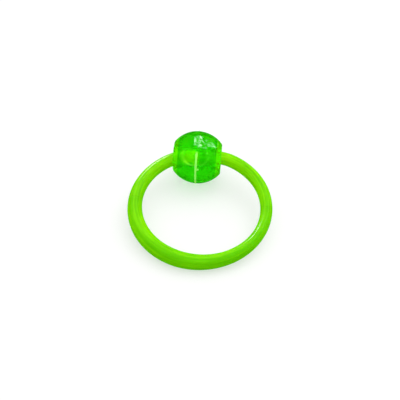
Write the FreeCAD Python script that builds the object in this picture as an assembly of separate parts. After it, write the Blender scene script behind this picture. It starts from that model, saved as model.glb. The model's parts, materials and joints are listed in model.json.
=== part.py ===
import FreeCAD, Part
import math
import os

# Bead-closed leg band, in millimetres.
# It is drawn in the ring's own frame: Z is the ring's axis, and the bead sits at +Y with its bore along X.
# At the end it is laid down as it rests on a floor: on the front of the cord and on the bead.

# Cord: one flexible round moulding, thicker on the left and front than on the right.
RING_RADIUS = 9.75
CORD_RADIUS = 1.02
ONE_SIDE_GAIN = 0.090
ONE_SIDE_ANGLE = 201.0
OVAL_GAIN = 0.073
OVAL_ANGLE = 63.0

# Bead: a barrel threaded on the cord, slid to the left of the middle of the cord's straight run, so that the
# cord leaves its left mouth at a slant.
BORE_LINE_Y = 9.09
BEAD_X = -1.28
BEAD_RADIUS = 4.13
BEAD_LENGTH = 7.48
BEAD_END_RADIUS = 2.32
BEAD_EDGE_ROUND = 0.40
BORE_RADIUS = 1.12
BORE_STRAIGHT = 1.60
MOUTH_RADIUS = 2.05
MOUTH_ROUND = 0.08

# Moulding marks on the bead: a parting line round its middle and the stub of the gate beside it.
SEAM_HEIGHT = 0.06
SEAM_ROUND = 0.10
GATE_ROUND = 0.26
GATE_HEIGHT = 0.13
GATE_OFFSET = 0.30
GATE_ANGLE = 157.0

# Cord ends inside the bead, each reaching to a distance from the middle of the bead. The fixed end lies along
# the bore; the free end enters the right mouth at a slant and stops inside its flare.
FIXED_BEND_RADIUS = 3.5
FIXED_TIP_X = 0.30
FREE_BEND_RADIUS = 5.0
FREE_BEND_ANGLE = 66.0
FREE_TIP_X = 2.40
TIP_ROUND = 0.30

# The stretch of cord opposite the bead that bends when the band is opened.
FLEX_ANGLE = -79.5
FLEX_LENGTH = 8.0

SECTION_STEP = 6.0

AXIS_X = FreeCAD.Vector(1, 0, 0)
AXIS_Y = FreeCAD.Vector(0, 1, 0)
AXIS_Z = FreeCAD.Vector(0, 0, 1)


def cord_radius(angle):
    """Radius of the cord at an angle round the ring, in degrees from +X."""
    one_side = ONE_SIDE_GAIN * math.cos(math.radians(angle - ONE_SIDE_ANGLE))
    oval = OVAL_GAIN * math.cos(2 * math.radians(angle - OVAL_ANGLE))
    return CORD_RADIUS * (1 + one_side + oval)


def fixed_bend_x():
    """Distance along X from the ring's middle to the centre of the fixed end's bend, which is on the left."""
    reach = RING_RADIUS - FIXED_BEND_RADIUS
    rise = BORE_LINE_Y - FIXED_BEND_RADIUS
    return math.sqrt(reach**2 - rise**2)


def fixed_bend_turn():
    """Angle through which the cord turns between the ring and the bore at its fixed end, in degrees."""
    return math.degrees(math.atan2(fixed_bend_x(), BORE_LINE_Y - FIXED_BEND_RADIUS))


def ring_section(angle):
    """Round cross-section of the cord at an angle round the ring."""
    section = Part.Wire(Part.Circle(FreeCAD.Vector(RING_RADIUS, 0, 0), AXIS_Y, cord_radius(angle)).toShape())
    section.rotate(FreeCAD.Vector(), AXIS_Z, angle)
    return section


def cord_arc(start, end):
    """Stretch of the ring's cord between two angles."""
    steps = math.ceil((end - start) / SECTION_STEP)
    angles = [start + (end - start) * i / steps for i in range(steps + 1)]
    return Part.makeLoft([ring_section(a) for a in angles], True)


def bend(centre, radius, start, end):
    """Arc in the ring's plane about a centre, between two angles in degrees from +X."""
    points = (
        centre + FreeCAD.Vector(math.cos(a), math.sin(a), 0) * radius
        for a in (math.radians(start), math.radians((start + end) / 2), math.radians(end))
    )
    return Part.Arc(*points).toShape()


def tip_along(edges, ring_angle, end_x):
    """Cord along a path that leaves the ring at an angle, rounded over where it ends at end_x."""
    tip = Part.Wire(edges).makePipeShell([ring_section(ring_angle)], True, True)
    ends = [e for e in tip.Edges if abs(e.CenterOfMass.x - end_x) < TIP_ROUND / 2]
    return tip.makeFillet(TIP_ROUND, ends)


def fixed_tip():
    """Cord from the ring through its bend and along the bore, on the left."""
    centre = FreeCAD.Vector(-fixed_bend_x(), BORE_LINE_Y - FIXED_BEND_RADIUS, 0)
    end_x = BEAD_X + FIXED_TIP_X
    ring_angle = 90 + fixed_bend_turn()
    turn = bend(centre, FIXED_BEND_RADIUS, ring_angle, 90)
    run = Part.makeLine(FreeCAD.Vector(centre.x, BORE_LINE_Y, 0), FreeCAD.Vector(end_x, BORE_LINE_Y, 0))
    return tip_along([turn, run], ring_angle, end_x)


def free_tip():
    """Cord from the ring through one wide bend to its end just inside the bead, on the right."""
    reach = RING_RADIUS - FREE_BEND_RADIUS
    leaving = math.radians(FREE_BEND_ANGLE)
    centre = FreeCAD.Vector(math.cos(leaving), math.sin(leaving), 0) * reach
    end_x = BEAD_X + FREE_TIP_X
    end_angle = math.degrees(math.acos((end_x - centre.x) / FREE_BEND_RADIUS))
    return tip_along([bend(centre, FREE_BEND_RADIUS, FREE_BEND_ANGLE, end_angle)], FREE_BEND_ANGLE, end_x)


def mouth_flare(side):
    """Curve of the bore's wall from its straight middle out to the mouth on one side."""
    half = BEAD_LENGTH / 2
    straight = BORE_STRAIGHT / 2
    run = half - straight
    rise = MOUTH_RADIUS - BORE_RADIUS
    radius = (run**2 + rise**2) / (2 * rise)
    middle_radius = BORE_RADIUS + radius - math.sqrt(radius**2 - run**2 / 4)
    middle = FreeCAD.Vector(side * (straight + run / 2), middle_radius, 0)
    inner = FreeCAD.Vector(side * straight, BORE_RADIUS, 0)
    mouth = FreeCAD.Vector(side * half, MOUTH_RADIUS, 0)
    return inner, middle, mouth


def bead_profile():
    """Half section of the bead on one side of its bore."""
    half = BEAD_LENGTH / 2
    left_end = FreeCAD.Vector(-half, BEAD_END_RADIUS, 0)
    crown = FreeCAD.Vector(0, BEAD_RADIUS, 0)
    right_end = FreeCAD.Vector(half, BEAD_END_RADIUS, 0)
    left_inner, left_middle, left_mouth = mouth_flare(-1)
    right_inner, right_middle, right_mouth = mouth_flare(1)
    outline = [
        Part.Arc(left_end, crown, right_end).toShape(),
        Part.makeLine(right_end, right_mouth),
        Part.Arc(right_mouth, right_middle, right_inner).toShape(),
        Part.makeLine(right_inner, left_inner),
        Part.Arc(left_inner, left_middle, left_mouth).toShape(),
        Part.makeLine(left_mouth, left_end),
    ]
    return Part.Face(Part.Wire(outline))


def rounded_ends(barrel):
    """The barrel with its outer end edges and its mouths rounded over."""
    for radius, rounding in ((BEAD_END_RADIUS, BEAD_EDGE_ROUND), (MOUTH_RADIUS, MOUTH_ROUND)):
        rims = [
            e
            for e in barrel.Edges
            if isinstance(e.Curve, Part.Circle)
            and abs(e.Curve.Axis.x) > 0.9
            and abs(e.Curve.Radius - radius) < 1e-3
            and abs(abs(e.Curve.Center.x) - BEAD_LENGTH / 2) < 1e-3
        ]
        barrel = barrel.makeFillet(rounding, rims)
    return barrel


def gate_stub():
    """Rounded stub left by the moulding gate, beside the parting line."""
    stub = Part.makeSphere(GATE_ROUND, FreeCAD.Vector(GATE_OFFSET, BEAD_RADIUS + GATE_HEIGHT - GATE_ROUND, 0))
    stub.rotate(FreeCAD.Vector(), AXIS_X, GATE_ANGLE)
    return stub


def bead():
    """Barrel bead with a flared bore, its parting line and its gate stub."""
    barrel = rounded_ends(bead_profile().revolve(FreeCAD.Vector(), AXIS_X, 360))
    seam = Part.makeTorus(BEAD_RADIUS + SEAM_HEIGHT - SEAM_ROUND, SEAM_ROUND, FreeCAD.Vector(), AXIS_X)
    whole = barrel.fuse([seam, gate_stub()]).removeSplitter()
    whole.translate(FreeCAD.Vector(BEAD_X, BORE_LINE_Y, 0))
    return whole


def rest_tilt():
    """Lean of the ring when the front of its cord and the bead both touch the floor, in degrees."""
    drop = BEAD_RADIUS + SEAM_HEIGHT - cord_radius(-90)
    return math.degrees(math.asin(drop / (BORE_LINE_Y + RING_RADIUS)))


def laid_down(solids):
    """Every solid turned into the resting pose, the middle of the underside of the whole at the origin."""
    for solid in solids.values():
        solid.rotate(FreeCAD.Vector(), AXIS_X, rest_tilt())
    box = Part.makeCompound(list(solids.values())).optimalBoundingBox(False, False)
    for solid in solids.values():
        solid.translate(FreeCAD.Vector(-box.Center.x, -box.Center.y, -box.ZMin))
    return solids


def leg_band():
    """Every sub-part by name, in the resting pose."""
    half_flex = math.degrees(FLEX_LENGTH / 2 / RING_RADIUS)
    flex_start = FLEX_ANGLE - half_flex
    flex_end = FLEX_ANGLE + half_flex
    return laid_down(
        {
            "band_fixed_half": cord_arc(90 + fixed_bend_turn() - 360, flex_start),
            "band_fixed_tip": fixed_tip(),
            "band_flex_zone": cord_arc(flex_start, flex_end),
            "band_free_half": cord_arc(flex_end, FREE_BEND_ANGLE),
            "band_free_tip": free_tip(),
            "bead": bead(),
        }
    )


os.makedirs("parts", exist_ok=True)
for name, solid in leg_band().items():
    solid.exportStep(f"parts/{name}.step")
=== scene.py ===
import json
import math

import bmesh
import bpy
import numpy as np
from mathutils import Matrix, Vector


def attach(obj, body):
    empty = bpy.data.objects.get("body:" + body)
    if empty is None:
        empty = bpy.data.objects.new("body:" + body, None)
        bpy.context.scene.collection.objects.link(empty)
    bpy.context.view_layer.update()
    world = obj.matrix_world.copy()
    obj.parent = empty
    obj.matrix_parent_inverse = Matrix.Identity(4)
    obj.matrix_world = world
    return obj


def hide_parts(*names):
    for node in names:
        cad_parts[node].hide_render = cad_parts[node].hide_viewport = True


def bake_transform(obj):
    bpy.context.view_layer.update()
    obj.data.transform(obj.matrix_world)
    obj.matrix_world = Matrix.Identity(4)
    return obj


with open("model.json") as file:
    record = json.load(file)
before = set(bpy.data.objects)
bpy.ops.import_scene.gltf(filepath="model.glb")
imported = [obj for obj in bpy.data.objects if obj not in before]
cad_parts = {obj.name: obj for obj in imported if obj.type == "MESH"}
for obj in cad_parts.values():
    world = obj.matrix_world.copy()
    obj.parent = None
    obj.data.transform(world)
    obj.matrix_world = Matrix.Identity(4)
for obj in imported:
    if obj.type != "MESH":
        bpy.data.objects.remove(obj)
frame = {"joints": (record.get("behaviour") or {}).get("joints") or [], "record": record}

# Lengths are in millimetres in the ring's own frame (Z is the ring's axis, the bead at +Y, its bore along X)
# until to_row() turns them into the row frame in metres.
MM = 0.001

# Cord
CORD_RADIUS = 1.02
ONE_SIDE_GAIN = 0.090
ONE_SIDE_ANGLE = 201.0
OVAL_GAIN = 0.073
OVAL_ANGLE = 63.0
FIXED_BEND_RADIUS = 3.5
FIXED_TIP_X = 0.30
FREE_BEND_RADIUS = 5.0
FREE_BEND_ANGLE = 66.0
FREE_TIP_X = 2.40
TIP_ROUND = 0.35
STATION_STEP = 0.12
CORD_SIDES = 64
# Length of cord inside the left mouth over which its underside takes up the ring's painted shade, a deeper
# green
MOUTH_SHADE_RUN = 0.8
# Where the cord is split inside the left mouth
SPLIT_DEPTH = 0.15

# Bead
BEAD_RADIUS = 4.13
BEAD_LENGTH = 7.48
BEAD_END_RADIUS = 2.32
BEAD_EDGE_ROUND = 0.17
BORE_RADIUS = 1.12
BORE_STRAIGHT = 1.60
MOUTH_RADIUS = 2.05
MOUTH_ROUND = 0.05
SEAM_HEIGHT = 0.06
SEAM_WIDTH = 0.08
SEAM_MATT = 0.18
SEAM_FADE = 0.08
SEAM_TRIMMED_AT = 185.0
SEAM_TRIMMED_HALF = 68.0
GATE_OFFSET = 0.30
GATE_ANGLE = 157.0
GATE_HEIGHT = 0.13
GATE_WIDTH = 0.17
GATE_MATT_REACH = 0.20
RELIEF_MARGIN = 0.02
RELIEF_FADE = 0.6
# The end bands carry painted light: a brighter yellow-green tint and a glow.
END_BAND_FROM = 2.90
END_BAND_FADE = 0.15
BEAD_SIDES = 256

# Painted light arc on the front of the bead: a pale, glowing loop painted over the outer surface, brightest
# low down, with a pale speck inside it. Its middle is a distance along the bore and an angle round it; the
# other pairs are distances along and up the surface.
LIGHT_ARC_AT = (-0.15, 127.0)
LIGHT_ARC_HALF = (2.05, 1.55)
LIGHT_ARC_WIDTH = 0.11
SPECK_FROM_LIGHT_ARC = (1.75, 0.50)
SPECK_RADIUS = 0.17

# Camera
CAMERA_DISTANCE_RADII = 8.0
CAMERA_AZIMUTH = 3.9
CAMERA_ELEVATION = 54.13
CAMERA_ROLL = -1.42
CAMERA_SHIFT_RADII = (0.0098, -0.0685)
FOCAL_PX = 525.1
FRAME_PX = 400.0
SENSOR_MM = 36.0

# Painted light: a glow from the cord's emission, chosen to match its colour: weak on the ring, strong where
# it is seen through the bead
PAINTED_GLOW = (0.05, 0.14, 0.0)
END_PAINTED_GLOW = (0.80, 0.50, 0.0)
MID_PAINTED_GLOW = (0.16, 0.26, 0.0)
FREE_END_PAINTED_GLOW = (0.30, 0.32, 0.0)

# Lamps
BEAD_AIM = (0, 0.006, 0.005)
# Lamps seen only in the bead's gloss: (name, place and size in metres, watts)
GLINTS = [
    ("glint_tall", (-0.004, 0.097, 0.187), (0.06, 0.19), 0.42),
    ("glint_side", (0.135, 0.101, 0.122), (0.08, 0.09), 0.18),
    ("glint_link", (0.078, 0.028, 0.190), (0.07, 0.05), 0.045),
]
SHEET_SIZE = 1.6
GRAIN_SCALE = 60.0


def record_item(group, name):
    return next(item for item in group if item["name"] == name)


record = frame["record"]
opening = record_item(record["mounts"], "leg_opening")
spin = record_item(frame["joints"], "bead_spin")
flex = record_item(frame["joints"], "band_flex")

ring_centre = Vector(opening["pos_m"])
ring_axis = Vector(opening["axis"]).normalized()
tilt = math.atan2(-ring_axis.y, ring_axis.z)
RING_TO_ROW = Matrix.Translation(ring_centre) @ Matrix.Rotation(tilt, 4, "X") @ Matrix.Scale(MM, 4)
bead_centre = RING_TO_ROW.inverted() @ Vector(spin["pos_m"])
flex_centre = RING_TO_ROW.inverted() @ Vector(flex["pos_m"])
RING_RADIUS = flex_centre.length
BEAD_X = bead_centre.x
BORE_Y = bead_centre.y

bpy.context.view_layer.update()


def to_row(point):
    return RING_TO_ROW @ Vector(point)


# ---------------------------------------------------------------- cord


def cord_radius(angle):
    """Radius of the cord at an angle round the ring, in degrees from +X."""
    one_side = ONE_SIDE_GAIN * math.cos(math.radians(angle - ONE_SIDE_ANGLE))
    oval = OVAL_GAIN * math.cos(2 * math.radians(angle - OVAL_ANGLE))
    return CORD_RADIUS * (1 + one_side + oval)


def arc_stations(centre, radius, start, end):
    """Points and headings along an arc, anticlockwise from start to end in degrees."""
    count = max(3, int(math.radians(end - start) * radius / STATION_STEP))
    turns = np.radians(np.linspace(start, end, count))
    ray = np.stack([np.cos(turns), np.sin(turns), 0 * turns], 1)
    heading = np.stack([-np.sin(turns), np.cos(turns), 0 * turns], 1)
    return np.array(centre) + radius * ray, heading


def line_stations(start_x, end_x):
    """Points and headings along the bore's line, which the cord follows towards -X."""
    count = max(3, int(abs(end_x - start_x) / STATION_STEP))
    xs = np.linspace(start_x, end_x, count)
    return np.stack([xs, 0 * xs + BORE_Y, 0 * xs], 1), np.tile([-1.0, 0, 0], (count, 1))


def joined(*stretches):
    """Stretches of the cord's line end to end, without the doubled points where they meet."""
    points = [stretches[0][0]] + [s[0][1:] for s in stretches[1:]]
    headings = [stretches[0][1]] + [s[1][1:] for s in stretches[1:]]
    return np.concatenate(points), np.concatenate(headings)


def section_radii(points, dome_at_start, dome_at_end):
    """Radius of the cord at each station, rounded down to nothing at a free end."""
    angles = np.degrees(np.arctan2(points[:, 1], points[:, 0]))
    radii = np.array([cord_radius(a) for a in angles])
    run = np.concatenate([[0], np.cumsum(np.linalg.norm(np.diff(points, axis=0), axis=1))])
    for domed, left in ((dome_at_start, run), (dome_at_end, run[-1] - run)):
        if domed:
            depth = np.clip(1 - left / TIP_ROUND, 0, 1)
            radii = radii - TIP_ROUND * (1 - np.sqrt(1 - depth**2))
    return radii, run


def tube(name, line, first=0, last=None, dome_at_start=False, dome_at_end=False, ends_in_mouth=False):
    """Closed tube along a line, or between two of its stations, with faint extrusion lines along it.

    A tube that ends in the mouth comes before the ring, and its lengths are counted back from their join.
    """
    points, headings = line
    radii, run = section_radii(points, dome_at_start, dome_at_end)
    around = np.linspace(0, 2 * np.pi, CORD_SIDES, endpoint=False)
    outward = np.stack([headings[:, 1], -headings[:, 0], headings[:, 2]], 1)
    up = np.array([0.0, 0, 1])
    lines = (
        0.0035 * np.cos(5 * around + 0.6)
        + 0.0025 * np.cos(9 * around + 2.1)
        + 0.0015 * np.cos(16 * around)
    )
    sway = 0.006 * np.sin(run / 3.1 + 0.4) + 0.004 * np.sin(run / 1.3 + 1.9)
    size = radii[:, None] * (1 + lines[None, :] + sway[:, None])
    rings = (
        points[:, None, :]
        + size[..., None] * (np.cos(around)[None, :, None] * outward[:, None, :])
        + size[..., None] * np.sin(around)[None, :, None] * up
    )
    along = run / run[-1]
    # Painted shade: a deeper green underneath, and on the outer side of the ring's front.
    if ends_in_mouth:
        run = run - run[-1]
        painted_shade = under_painted_shade(around)[None, :] * np.clip(1 + run / MOUTH_SHADE_RUN, 0, 1)[:, None]
    else:
        painted_shade = painted_shade_tint(along, around)
    part = slice(first, None if last is None else last + 1)
    rings, points, run, along, painted_shade = rings[part], points[part], run[part], along[part], painted_shade[part]
    verts = [tuple(p) for p in rings.reshape(-1, 3)]
    faces, uvs = grid_faces(len(points), CORD_SIDES, along)
    verts += [tuple(points[0]), tuple(points[-1])]
    start_cap, end_cap = len(verts) - 2, len(verts) - 1
    base = (len(points) - 1) * CORD_SIDES
    flat_from = len(faces)
    for k in range(CORD_SIDES):
        after = (k + 1) % CORD_SIDES
        faces.append((start_cap, after, k))
        faces.append((end_cap, base + k, base + after))
        uvs.append([(along[0], k / CORD_SIDES)] * 3)
        uvs.append([(along[-1], k / CORD_SIDES)] * 3)
    lengthwise = [(math.cos(a), math.sin(a), r) for r in run for a in around]
    lengthwise += [(0, 0, run[0]), (0, 0, run[-1])]
    painted_shade = np.concatenate([painted_shade.ravel(), [painted_shade[0].mean(), painted_shade[-1].mean()]])
    return mesh_object(name, verts, faces, uvs, {"lengthwise": lengthwise, "painted_shade": painted_shade}, flat_from)


def painted_shade_tint(along, around):
    """Painted shade on the cord, 0 to 1: its green is deepest underneath, then on the outer side of the
    ring's front.
    """
    front = np.clip(np.minimum(along - 0.10, 0.92 - along) / 0.30, 0, 1)
    side = np.clip(0.5 + 1.2 * np.cos(around - math.radians(15)), 0.25, 1)
    return np.maximum(0.7 * front[:, None] * side[None, :], under_painted_shade(around)[None, :])


def under_painted_shade(around):
    """Painted shade round the cord's section, 0 to 1: full underneath and none on top."""
    return np.clip(0.15 - 1.3 * np.sin(around), 0, 1)


def grid_faces(rows, columns, along):
    """Quads of a grid that closes on itself across its columns, with their texture coordinates."""
    faces, uvs = [], []
    for i in range(rows - 1):
        for k in range(columns):
            after = (k + 1) % columns
            row, next_row = i * columns, (i + 1) * columns
            faces.append((row + k, row + after, next_row + after, next_row + k))
            u0, u1 = along[i], along[i + 1]
            v0, v1 = k / columns, (k + 1) / columns
            uvs.append([(u0, v0), (u0, v1), (u1, v1), (u1, v0)])
    return faces, uvs


def mesh_object(name, verts, faces, uvs, point_values=None, flat_from=None):
    """Mesh in the row frame from ring-frame vertices, with named numbers per vertex.

    Its faces are smooth, or those before flat_from are.
    """
    mesh = bpy.data.meshes.new(name)
    mesh.from_pydata([to_row(v) for v in verts], [], faces)
    layer = mesh.uv_layers.new(name="along")
    layer.data.foreach_set("uv", np.array([c for face in uvs for c in face], np.float32).ravel())
    for key, values in (point_values or {}).items():
        values = np.array(values, np.float32)
        if values.shape[-1] == 3:
            mesh.attributes.new(key, "FLOAT_VECTOR", "POINT").data.foreach_set("vector", values.ravel())
        else:
            mesh.attributes.new(key, "FLOAT", "POINT").data.foreach_set("value", values.ravel())
    smooth = len(faces) if flat_from is None else flat_from
    mesh.polygons.foreach_set("use_smooth", [i < smooth for i in range(len(faces))])
    shell = bmesh.new()
    shell.from_mesh(mesh)
    bmesh.ops.recalc_face_normals(shell, faces=shell.faces)
    shell.to_mesh(mesh)
    shell.free()
    obj = bpy.data.objects.new(name, mesh)
    bpy.context.scene.collection.objects.link(obj)
    return obj


left_mouth_x = BEAD_X - BEAD_LENGTH / 2
left_split_angle = math.degrees(math.acos((left_mouth_x + SPLIT_DEPTH) / RING_RADIUS))


def make_band():
    """The cord from the bead's left mouth to its free end: left side, front and right side."""
    reach = RING_RADIUS - FREE_BEND_RADIUS
    leaving = math.radians(FREE_BEND_ANGLE)
    centre = (reach * math.cos(leaving), reach * math.sin(leaving), 0)
    end_angle = math.degrees(math.acos((BEAD_X + FREE_TIP_X - centre[0]) / FREE_BEND_RADIUS))
    line = joined(
        arc_stations((0, 0, 0), RING_RADIUS, left_split_angle, 360 + FREE_BEND_ANGLE),
        arc_stations(centre, FREE_BEND_RADIUS, FREE_BEND_ANGLE, end_angle),
    )
    turned = np.unwrap(np.arctan2(line[0][:, 1], line[0][:, 0]))
    leftmost = int(np.argmin(np.abs(turned - math.pi)))
    rightmost = int(np.argmin(np.abs(turned - 2 * math.pi)))
    return (
        tube("band_left", line, 0, leftmost, dome_at_end=True),
        tube("band_front", line, leftmost, rightmost, dome_at_end=True),
        tube("band_right", line, rightmost, None, dome_at_end=True),
    )


def make_fixed_end():
    """The cord's other end, from the left mouth to the middle of the bead."""
    rise = BORE_Y - FIXED_BEND_RADIUS
    bend_x = math.sqrt((RING_RADIUS - FIXED_BEND_RADIUS) ** 2 - rise**2)
    ring_angle = 90 + math.degrees(math.atan2(bend_x, rise))
    line = joined(
        line_stations(BEAD_X + FIXED_TIP_X, -bend_x),
        arc_stations((-bend_x, rise, 0), FIXED_BEND_RADIUS, 90, ring_angle),
        arc_stations((0, 0, 0), RING_RADIUS, ring_angle, left_split_angle),
    )
    return tube("cord_fixed_end", line, dome_at_start=True, ends_in_mouth=True)


# ---------------------------------------------------------------- bead


def arc_points(start, middle, end, count):
    """Points on the circular arc through three points in a plane, without the last."""
    ax, ay, bx, by, cx, cy = *start, *middle, *end
    d = 2 * (ax * (by - cy) + bx * (cy - ay) + cx * (ay - by))
    ux = ((ax**2 + ay**2) * (by - cy) + (bx**2 + by**2) * (cy - ay) + (cx**2 + cy**2) * (ay - by)) / d
    uy = ((ax**2 + ay**2) * (cx - bx) + (bx**2 + by**2) * (ax - cx) + (cx**2 + cy**2) * (bx - ax)) / d
    radius = math.hypot(ax - ux, ay - uy)
    a0 = math.atan2(ay - uy, ax - ux)
    a1 = math.atan2(cy - uy, cx - ux)
    turns = np.linspace(a0, a1, count, endpoint=False)
    return [(ux + radius * math.cos(t), uy + radius * math.sin(t)) for t in turns]


def rounded(points, corner, radius, count=8):
    """The closed outline with the corner nearest to a point cut back and curved over."""
    points = [np.array(p, float) for p in points]
    k = min(range(len(points)), key=lambda i: np.hypot(*(points[i] - np.array(corner))))
    tip = points[k]

    def cut(step):
        i, gone = k, 0.0
        while True:
            j = (i + step) % len(points)
            length = np.hypot(*(points[j] - points[i]))
            if gone + length >= radius:
                return j, points[i] + (points[j] - points[i]) * (radius - gone) / length
            gone += length
            i = j

    before, start = cut(-1)
    after, end = cut(1)
    curve = [(1 - t) ** 2 * start + 2 * t * (1 - t) * tip + t**2 * end for t in np.linspace(0, 1, count)]
    keep = []
    i = after
    while True:
        keep.append(points[i])
        if i == before:
            break
        i = (i + 1) % len(points)
    return keep + curve


def bead_outline():
    """Closed outline (x from the bead's middle, radius) of the bead's wall, clockwise from its left end."""
    half, straight = BEAD_LENGTH / 2, BORE_STRAIGHT / 2
    run, rise = half - straight, MOUTH_RADIUS - BORE_RADIUS
    flare = (run**2 + rise**2) / (2 * rise)
    middle_y = BORE_RADIUS + flare - math.sqrt(flare**2 - run**2 / 4)
    middle_x = straight + run / 2
    outline = arc_points((-half, BEAD_END_RADIUS), (0, BEAD_RADIUS), (half, BEAD_END_RADIUS), 180)
    outline += [(half, r) for r in np.linspace(BEAD_END_RADIUS, MOUTH_RADIUS, 12, endpoint=False)]
    outline += arc_points((half, MOUTH_RADIUS), (middle_x, middle_y), (straight, BORE_RADIUS), 24)
    outline += [(x, BORE_RADIUS) for x in np.linspace(straight, -straight, 20, endpoint=False)]
    outline += arc_points((-straight, BORE_RADIUS), (-middle_x, middle_y), (-half, MOUTH_RADIUS), 24)
    outline += [(-half, r) for r in np.linspace(MOUTH_RADIUS, BEAD_END_RADIUS, 12, endpoint=False)]
    for side in (-1, 1):
        outline = rounded(outline, (side * half, BEAD_END_RADIUS), BEAD_EDGE_ROUND)
        outline = rounded(outline, (side * half, MOUTH_RADIUS), MOUTH_ROUND)
    return np.array(outline)


def bead_relief(x, turn):
    """Height of the outer surface's moulding marks above the plain barrel."""
    seam = SEAM_HEIGHT * np.exp(-((x / SEAM_WIDTH) ** 2))
    gate = GATE_HEIGHT * np.exp(-((gate_distance(x, turn) / GATE_WIDTH) ** 2))
    swell = 0.012 * np.sin(3 * turn + 0.7 * x) + 0.008 * np.sin(7 * turn - 1.3 * x + 1.0)
    return seam + gate + swell


def gate_distance(x, turn):
    """Distance over the surface from the middle of the gate stub."""
    return np.hypot(x - GATE_OFFSET, BEAD_RADIUS * np.angle(np.exp(1j * (turn - math.radians(GATE_ANGLE)))))


def seam_matt(x, turn):
    """How matt the surface is, 0 to 1: along the parting line where it was trimmed, and on the gate stub. The
    material also gives these marks a painted glow.
    """
    around = np.angle(np.exp(1j * (turn - math.radians(SEAM_TRIMMED_AT))))
    trimmed = np.clip((math.radians(SEAM_TRIMMED_HALF) - np.abs(around)) / 0.12, 0, 1)
    uneven = 0.85 + 0.15 * np.sin(23 * turn + 1.0) * np.sin(9 * turn)
    line = np.clip((SEAM_MATT * uneven - np.abs(x)) / SEAM_FADE + 0.5, 0, 1) * trimmed
    gate = np.clip((GATE_MATT_REACH - gate_distance(x, turn)) / 0.06 + 0.5, 0, 1)
    return np.maximum(line, 0.8 * gate)


def painted_light_arc(x, turn):
    """How pale the painted light arc is, 0 to 1, along the arc and at the speck inside it."""
    across = x - LIGHT_ARC_AT[0]
    upward = -BEAD_RADIUS * np.angle(np.exp(1j * (turn - math.radians(LIGHT_ARC_AT[1]))))
    reach = np.hypot(across / LIGHT_ARC_HALF[0], upward / LIGHT_ARC_HALF[1])
    bearing = np.arctan2(upward / LIGHT_ARC_HALF[1], across / LIGHT_ARC_HALF[0])
    low_left = np.exp(-(((bearing + math.radians(112)) / 0.35) ** 2))
    left = 0.40 * np.clip(np.cos(bearing - math.radians(200)), 0, 1) ** 1.5
    low_right = 0.30 * np.clip(np.cos(bearing + math.radians(40)), 0, 1) ** 2
    uneven = 0.75 + 0.25 * np.sin(6 * bearing + 0.8) * np.sin(11 * bearing)
    line = np.exp(-(((reach - 1 - 0.03 * np.sin(5 * bearing)) / LIGHT_ARC_WIDTH) ** 2))
    speck = np.hypot(across - SPECK_FROM_LIGHT_ARC[0], upward - SPECK_FROM_LIGHT_ARC[1]) / SPECK_RADIUS
    return np.maximum(line * np.clip(low_left + left + low_right, 0, 1) * uneven, 0.6 * np.exp(-(speck**2)))


def make_bead():
    """Barrel bead turned about its bore, with its parting line, gate stub and slight swellings."""
    outline = bead_outline()
    turns = np.linspace(0, 2 * np.pi, BEAD_SIDES, endpoint=False)
    xs, radii = outline[:, 0], outline[:, 1]
    reach = BEAD_LENGTH / 2 - RELIEF_MARGIN
    outer = (radii > BEAD_END_RADIUS - BEAD_EDGE_ROUND) & (np.abs(xs) < reach)
    relief = np.where(outer[:, None], bead_relief(xs[:, None], turns[None, :]), 0)
    relief *= np.clip((reach - np.abs(xs)) / RELIEF_FADE, 0, 1)[:, None]
    size = radii[:, None] + relief
    verts = np.stack(
        [
            np.repeat(xs[:, None], BEAD_SIDES, 1) + BEAD_X,
            size * np.cos(turns)[None, :] + BORE_Y,
            size * np.sin(turns)[None, :],
        ],
        2,
    ).reshape(-1, 3)
    rows = len(outline)
    faces, uvs = [], []
    for i in range(rows):
        for k in range(BEAD_SIDES):
            j, after = (i + 1) % rows, (k + 1) % BEAD_SIDES
            row, next_row = i * BEAD_SIDES, j * BEAD_SIDES
            faces.append((row + k, next_row + k, next_row + after, row + after))
            u0, u1, v0, v1 = i / rows, (i + 1) / rows, k / BEAD_SIDES, (k + 1) / BEAD_SIDES
            uvs.append([(u0, v0), (u1, v0), (u1, v1), (u0, v1)])
    seam = np.where(outer[:, None], seam_matt(xs[:, None], turns[None, :]), 0)
    # Where the painted light arc and its speck lie.
    light_arc = np.where(outer[:, None], painted_light_arc(xs[:, None], turns[None, :]), 0)
    bore_wall = np.where(outer, 0.0, 1.0)
    # Painted light on the end bands, strongest on the side of the light arc.
    painted_end_glow = np.where(outer, np.clip((np.abs(xs) - END_BAND_FROM) / END_BAND_FADE, 0, 1), 0)
    painted_end_glow = painted_end_glow[:, None] * (0.55 + 0.45 * np.cos(turns - math.radians(LIGHT_ARC_AT[1])))[None, :]
    return mesh_object(
        "bead_body",
        [tuple(v) for v in verts],
        faces,
        uvs,
        {
            "seam": seam,
            "bore_wall": np.repeat(bore_wall, BEAD_SIDES),
            "painted_end_glow": painted_end_glow,
            "light_arc": light_arc,
        },
    )


# ---------------------------------------------------------------- materials


def new_material(name):
    material = bpy.data.materials.new(name)
    material.use_nodes = True
    nodes = material.node_tree.nodes
    nodes.clear()
    shader = nodes.new("ShaderNodeBsdfPrincipled")
    output = nodes.new("ShaderNodeOutputMaterial")
    material.node_tree.links.new(shader.outputs["BSDF"], output.inputs["Surface"])
    return material, nodes, material.node_tree.links, shader


def scaled_noise(nodes, links, source, scale, noise_scale, detail=3.0, distortion=0.0, offset=(0, 0, 0)):
    mapping = nodes.new("ShaderNodeMapping")
    mapping.inputs["Scale"].default_value = scale
    mapping.inputs["Location"].default_value = offset
    links.new(source, mapping.inputs["Vector"])
    noise = nodes.new("ShaderNodeTexNoise")
    noise.inputs["Scale"].default_value = noise_scale
    noise.inputs["Detail"].default_value = detail
    noise.inputs["Distortion"].default_value = distortion
    links.new(mapping.outputs["Vector"], noise.inputs["Vector"])
    return noise.outputs["Fac"]


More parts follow.
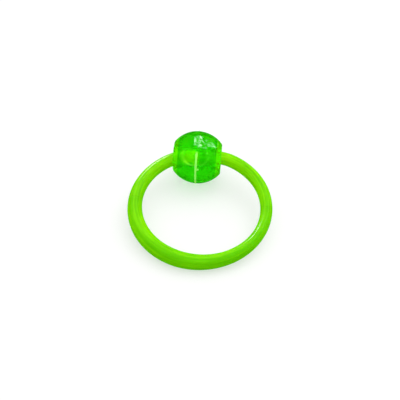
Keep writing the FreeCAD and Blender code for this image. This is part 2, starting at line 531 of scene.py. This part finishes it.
def ramp(nodes, links, source, stops):
    node = nodes.new("ShaderNodeValToRGB")
    elements = node.color_ramp.elements
    elements[0].position, elements[-1].position = stops[0][0], stops[-1][0]
    for position, _ in stops[1:-1]:
        elements.new(position)
    for element, (_, colour) in zip(elements, stops):
        element.color = (*colour, 1)
    links.new(source, node.inputs["Fac"])
    return node.outputs["Color"]


def spread(nodes, links, source, low, high):
    """The source value, 0 to 1, spread between low and high."""
    node = nodes.new("ShaderNodeMapRange")
    node.inputs["To Min"].default_value = low
    node.inputs["To Max"].default_value = high
    links.new(source, node.inputs["Value"])
    return node.outputs["Result"]


def bumps(nodes, links, shader, source, strength, height):
    bump = nodes.new("ShaderNodeBump")
    bump.inputs["Strength"].default_value = strength
    bump.inputs["Distance"].default_value = height
    links.new(source, bump.inputs["Height"])
    links.new(bump.outputs["Normal"], shader.inputs["Normal"])


def mixed_colour(nodes, links, share, colour, other):
    """The colour, with a share of it replaced by the other; no colour stands for black."""
    mix = nodes.new("ShaderNodeMixRGB")
    links.new(share, mix.inputs["Fac"])
    if colour is None:
        mix.inputs["Color1"].default_value = (0, 0, 0, 1)
    else:
        links.new(colour, mix.inputs["Color1"])
    mix.inputs["Color2"].default_value = (*other, 1)
    return mix.outputs["Color"]


def point_value(nodes, name):
    node = nodes.new("ShaderNodeAttribute")
    node.attribute_name = name
    return node.outputs["Fac"]


def cord_material(name, painted_glow_stops):
    """Soft fluorescent yellow-green plastic, cloudy, with faint lines along it, with painted shade deepening
    its green underneath and a painted glow along it.
    """
    material, nodes, links, shader = new_material(name)
    uv = nodes.new("ShaderNodeTexCoord").outputs["UV"]
    obj = nodes.new("ShaderNodeTexCoord").outputs["Object"]
    lengthwise = nodes.new("ShaderNodeAttribute")
    lengthwise.attribute_name = "lengthwise"
    streaks = scaled_noise(nodes, links, lengthwise.outputs["Vector"], (4.2, 4.2, 0.16), 1.0)
    clouds = scaled_noise(nodes, links, obj, (1, 1, 1), 420.0)
    mixed = nodes.new("ShaderNodeMix")
    mixed.inputs["Factor"].default_value = 0.3
    links.new(streaks, mixed.inputs["A"])
    links.new(clouds, mixed.inputs["B"])
    colour = ramp(
        nodes, links, mixed.outputs["Result"], [(0.36, (0.14, 0.56, 0.0)), (0.62, (0.34, 0.86, 0.0))]
    )
    along = nodes.new("ShaderNodeSeparateXYZ")
    links.new(uv, along.inputs["Vector"])
    # Painted shade: the deeper green below is mixed in underneath and on the ring's front.
    depth = spread(nodes, links, point_value(nodes, "painted_shade"), 0.0, 0.75)
    colour = mixed_colour(nodes, links, depth, colour, (0.03, 0.50, 0.0))
    links.new(colour, shader.inputs["Base Color"])
    # Painted glow: emission set along the cord by its glow stops.
    links.new(ramp(nodes, links, along.outputs["X"], painted_glow_stops), shader.inputs["Emission Color"])
    links.new(spread(nodes, links, streaks, 0.14, 0.30), shader.inputs["Roughness"])
    bumps(nodes, links, shader, streaks, 0.15, 0.00004)
    shader.inputs["IOR"].default_value = 1.45
    shader.inputs["Specular IOR Level"].default_value = 0.12
    shader.inputs["Transmission Weight"].default_value = 0.30
    shader.inputs["Subsurface Weight"].default_value = 1.0
    shader.inputs["Subsurface Radius"].default_value = (0.0007, 0.0012, 0.0001)
    shader.inputs["Subsurface Scale"].default_value = 1.0
    shader.inputs["Emission Strength"].default_value = 1.0
    return material


def bead_material():
    """Clear deep green hard plastic, mottled and unevenly glossy, with pale moulding marks, a painted light
    arc, and a painted glow on the marks, the arc and its end bands.
    """
    material, nodes, links, shader = new_material("bead_plastic")
    obj = nodes.new("ShaderNodeTexCoord").outputs["Object"]
    clouds = scaled_noise(nodes, links, obj, (1, 1, 1), 620.0, 3.0, 1.2)
    fine = scaled_noise(nodes, links, obj, (1, 1, 1), 1000.0, 2.0, 0.8, (1.3, 2.9, 0.7))
    body = ramp(nodes, links, clouds, [(0.35, (0.05, 0.77, 0.002)), (0.65, (0.14, 0.94, 0.008))])
    inside = point_value(nodes, "bore_wall")
    seam = point_value(nodes, "seam")
    ends = point_value(nodes, "painted_end_glow")
    tint = mixed_colour(nodes, links, inside, body, (0.85, 1.0, 0.5))
    # Painted light: the end bands are tinted a brighter yellow-green.
    tint = mixed_colour(nodes, links, ends, tint, (0.24, 1.0, 0.002))
    light_arc = point_value(nodes, "light_arc")
    # Painted light: the light arc and its speck are tinted pale.
    tint = mixed_colour(nodes, links, light_arc, tint, (0.40, 1.0, 0.16))
    tint = mixed_colour(nodes, links, seam, tint, (0.40, 1.0, 0.20))
    links.new(tint, shader.inputs["Base Color"])
    links.new(spread(nodes, links, seam, 0.88, 0.10), shader.inputs["Transmission Weight"])
    # Painted glow on the end bands, the light arc, and the parting line and gate stub.
    glow = mixed_colour(nodes, links, ends, None, (0.035, 0.15, 0.0))
    glow = mixed_colour(nodes, links, light_arc, glow, (0.07, 0.24, 0.012))
    glow = mixed_colour(nodes, links, seam, glow, (0.10, 0.34, 0.035))
    links.new(glow, shader.inputs["Emission Color"])
    shader.inputs["Emission Strength"].default_value = 1.0
    links.new(spread(nodes, links, fine, 0.03, 0.07), shader.inputs["Roughness"])
    bumps(nodes, links, shader, fine, 1.0, 0.00016)
    shader.inputs["IOR"].default_value = 1.45
    shader.inputs["Specular IOR Level"].default_value = 0.05
    shader.inputs["Subsurface Weight"].default_value = 1.0
    shader.inputs["Subsurface Radius"].default_value = (0.0006, 0.0020, 0.0002)
    shader.inputs["Subsurface Scale"].default_value = 1.0
    absorb = nodes.new("ShaderNodeVolumeAbsorption")
    absorb.inputs["Color"].default_value = (0.22, 0.90, 0.0, 1)
    absorb.inputs["Density"].default_value = 300.0
    output = next(n for n in nodes if n.type == "OUTPUT_MATERIAL")
    links.new(absorb.outputs["Volume"], output.inputs["Volume"])
    return material


def floor_material():
    """Plain pale paper."""
    material, nodes, links, shader = new_material("floor_paper")
    obj = nodes.new("ShaderNodeTexCoord").outputs["Object"]
    grain = scaled_noise(nodes, links, obj, (1, 1, 1), GRAIN_SCALE)
    colour = ramp(nodes, links, grain, [(0.2, (0.44, 0.44, 0.437)), (0.8, (0.47, 0.47, 0.467))])
    links.new(colour, shader.inputs["Base Color"])
    shader.inputs["Emission Color"].default_value = (1, 1, 1, 1)
    shader.inputs["Emission Strength"].default_value = 0.54
    shader.inputs["Roughness"].default_value = 0.9
    shader.inputs["Specular IOR Level"].default_value = 0.1
    return material


# ---------------------------------------------------------------- stage


def make_floor():
    bpy.ops.mesh.primitive_plane_add(size=SHEET_SIZE, location=(0, 0, 0))
    floor = bpy.context.object
    floor.name = "floor"
    floor.data.materials.append(floor_material())
    floor.visible_glossy = False
    floor.visible_diffuse = False


def make_card():
    """Dim card seen only in reflections, in place of the bright floor."""
    bpy.ops.mesh.primitive_plane_add(size=SHEET_SIZE, location=(0, 0, -0.004))
    card = bpy.context.object
    card.name = "card"
    material, nodes, links, shader = new_material("card_paper")
    obj = nodes.new("ShaderNodeTexCoord").outputs["Object"]
    grain = scaled_noise(nodes, links, obj, (1, 1, 1), GRAIN_SCALE)
    colour = ramp(nodes, links, grain, [(0.2, (0.05, 0.58, 0.010)), (0.8, (0.06, 0.62, 0.014))])
    links.new(colour, shader.inputs["Emission Color"])
    shader.inputs["Base Color"].default_value = (0, 0, 0, 1)
    shader.inputs["Emission Strength"].default_value = 1.0
    card.data.materials.append(material)
    card.visible_camera = False
    card.visible_diffuse = False
    card.visible_transmission = False
    card.visible_shadow = False


def area_light(name, place, aim, size, watts):
    light = bpy.data.lights.new(name, "AREA")
    light.shape = "RECTANGLE"
    light.size, light.size_y = size
    light.energy = watts
    obj = bpy.data.objects.new(name, light)
    obj.location = place
    obj.rotation_euler = (Vector(aim) - Vector(place)).to_track_quat("-Z", "Y").to_euler()
    bpy.context.scene.collection.objects.link(obj)
    return obj


def lit_only(name, objects):
    """Collection of the only objects that a lamp lights."""
    receivers = bpy.data.collections.new(name)
    for obj in objects:
        receivers.objects.link(obj)
    return receivers


def gloss_light(name, place, aim, size, watts, receivers):
    """Area light that shows only in the gloss of its receivers."""
    lamp = area_light(name, place, aim, size, watts)
    lamp.visible_diffuse = False
    lamp.visible_transmission = False
    lamp.light_linking.receiver_collection = receivers


def make_world():
    """Soft white dome, brighter from above and behind; the camera alone sees a plain backdrop instead."""
    world = bpy.data.worlds.new("studio")
    bpy.context.scene.world = world
    world.use_nodes = True
    nodes, links = world.node_tree.nodes, world.node_tree.links
    towards = nodes.new("ShaderNodeVectorMath")
    towards.operation = "DOT_PRODUCT"
    towards.inputs[1].default_value = (0.0, 0.4, 0.9)
    links.new(nodes.new("ShaderNodeTexCoord").outputs["Generated"], towards.inputs[0])
    strength = nodes.new("ShaderNodeMapRange")
    strength.inputs["From Min"].default_value = -0.3
    strength.inputs["To Min"].default_value = 0.25
    strength.inputs["To Max"].default_value = 1.40
    links.new(towards.outputs["Value"], strength.inputs["Value"])
    dome = nodes["Background"]
    dome.inputs["Color"].default_value = (1, 1, 1, 1)
    links.new(strength.outputs["Result"], dome.inputs["Strength"])
    backdrop = nodes.new("ShaderNodeBackground")
    backdrop.inputs["Color"].default_value = (1, 1, 1, 1)
    backdrop.inputs["Strength"].default_value = 0.97
    seen = nodes.new("ShaderNodeLightPath")
    either = nodes.new("ShaderNodeMixShader")
    links.new(seen.outputs["Is Camera Ray"], either.inputs["Fac"])
    links.new(dome.outputs["Background"], either.inputs[1])
    links.new(backdrop.outputs["Background"], either.inputs[2])
    links.new(either.outputs["Shader"], nodes["World Output"].inputs["Surface"])
    world.cycles_visibility.glossy = False


def make_lights(cord_pieces, bead_piece):
    """Weak key light, a streak in the gloss of the ring, and glints in the gloss of the bead."""
    key = area_light("key", (0.082, 0.090, 0.159), BEAD_AIM, (0.12, 0.12), 0.05)
    key.visible_glossy = False
    on_cord = lit_only("streak_on", cord_pieces)
    gloss_light("streak", (-0.0797, 0.153, 0.119), (-0.0077, 0.0050, 0.0047), (0.04, 0.04), 0.17, on_cord)
    on_bead = lit_only("glint_on", [bead_piece])
    for name, place, size, watts in GLINTS:
        gloss_light(name, place, BEAD_AIM, size, watts, on_bead)


def make_camera():
    """Camera at the photograph's angle, found in the ring's frame."""
    azimuth, elevation, roll = (
        math.radians(a) for a in (CAMERA_AZIMUTH, CAMERA_ELEVATION, CAMERA_ROLL)
    )
    back = Vector(
        (
            math.sin(azimuth) * math.cos(elevation),
            -math.cos(azimuth) * math.cos(elevation),
            math.sin(elevation),
        )
    )
    level = Vector((math.cos(azimuth), math.sin(azimuth), 0))
    upright = back.cross(level)
    right = math.cos(roll) * level - math.sin(roll) * upright
    up = math.sin(roll) * level + math.cos(roll) * upright
    place = (
        back * CAMERA_DISTANCE_RADII - right * CAMERA_SHIFT_RADII[0] - up * CAMERA_SHIFT_RADII[1]
    ) * RING_RADIUS
    turn = Matrix.Rotation(tilt, 3, "X")
    axes = Matrix((turn @ right, turn @ up, turn @ back)).transposed()
    data = bpy.data.cameras.new("camera")
    data.sensor_width = SENSOR_MM
    data.lens = FOCAL_PX / FRAME_PX * SENSOR_MM
    data.clip_start = 0.001
    data.clip_end = 10
    camera = bpy.data.objects.new("camera", data)
    camera.matrix_world = Matrix.Translation(to_row(place)) @ axes.to_4x4()
    bpy.context.scene.collection.objects.link(camera)
    bpy.context.scene.camera = camera


# ---------------------------------------------------------------- assembly

# Painted glow along the ring, stronger at the free tip where it is seen through the bead's right end.
cord = cord_material("cord_plastic", [(0.975, PAINTED_GLOW), (1.0, FREE_END_PAINTED_GLOW)])
# Painted glow on the fixed end, strong where it is seen through the bead.
cord_end = cord_material(
    "cord_end_plastic",
    [(0.03, PAINTED_GLOW), (0.08, END_PAINTED_GLOW), (0.36, END_PAINTED_GLOW), (0.62, MID_PAINTED_GLOW), (0.80, MID_PAINTED_GLOW), (1.0, PAINTED_GLOW)],
)
cord_pieces = make_band()
band_left, band_front, band_right = cord_pieces
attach(band_left, "fixed_band")
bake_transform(band_front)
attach(band_right, "free_band")
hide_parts("band_fixed_half")
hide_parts("band_fixed_half", "band_flex_zone", "band_free_half")
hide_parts("band_free_half", "band_free_tip")
for piece in cord_pieces:
    piece.data.materials.append(cord)

fixed_end = make_fixed_end()
fixed_end.data.materials.append(cord_end)
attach(fixed_end, "fixed_band")
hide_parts("band_fixed_tip")

bead_body = make_bead()
bead_body.data.materials.append(bead_material())
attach(bead_body, "bead")
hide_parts("bead")

make_floor()
make_card()
make_world()
make_lights(cord_pieces, bead_body)
make_camera()
bpy.context.scene.view_settings.view_transform = "Standard"
